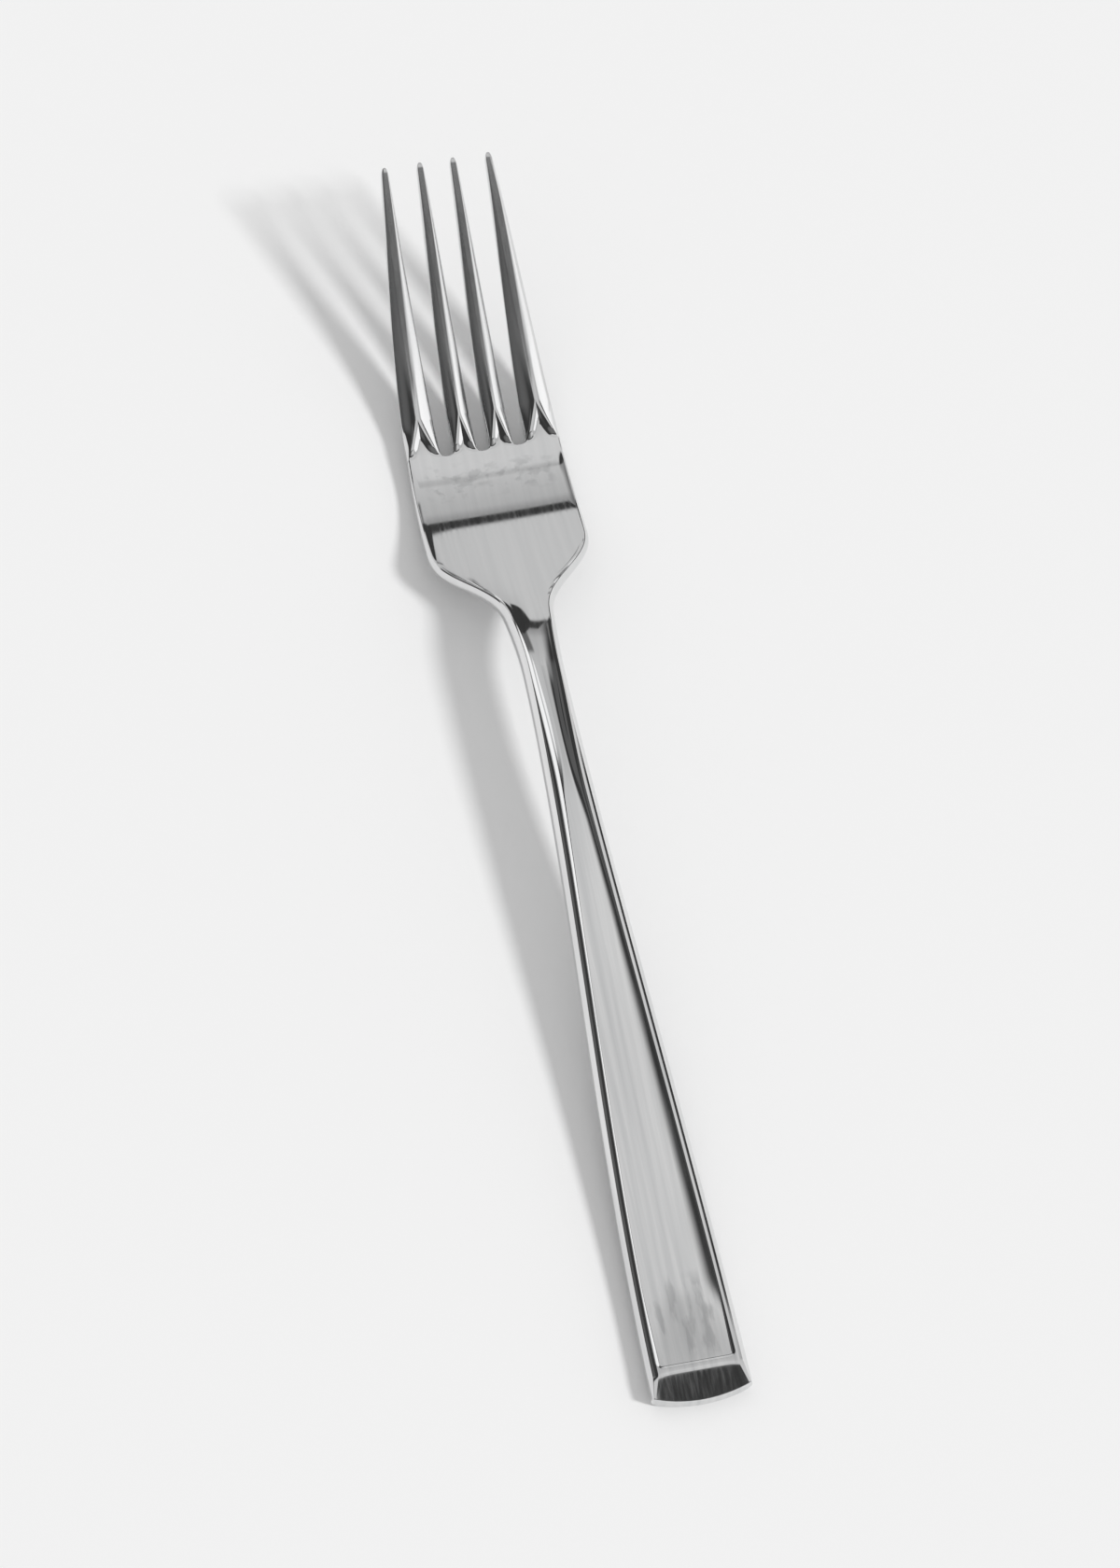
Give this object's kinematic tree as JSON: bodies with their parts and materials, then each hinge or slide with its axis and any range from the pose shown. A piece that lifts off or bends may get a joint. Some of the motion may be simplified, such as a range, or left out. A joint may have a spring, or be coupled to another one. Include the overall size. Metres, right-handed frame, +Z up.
{
  "type": "salad fork",
  "caption": "Polished steel salad fork: tapering handle with a sunk panel and a sloping end facet, slim arched neck, shallow palm and long upswept tines.",
  "frame": {"origin": "middle of the fork's length and width, on the table that it rests on", "axes": "+X across the fork to its right, +Y from the handle's end to the tine tips, +Z up from the table"},
  "size_m": [0.0228, 0.18, 0.0197],
  "materials": {
    "steel": "polished stainless steel with fine lengthwise polishing lines"
  },
  "bodies": {
    "root": {"handle_end": "steel", "handle": "steel", "neck": "steel", "shoulder": "steel", "palm": "steel", "outer_left_tine": "steel", "inner_left_tine": "steel", "inner_right_tine": "steel", "outer_right_tine": "steel"}
  },
  "joints": []
}
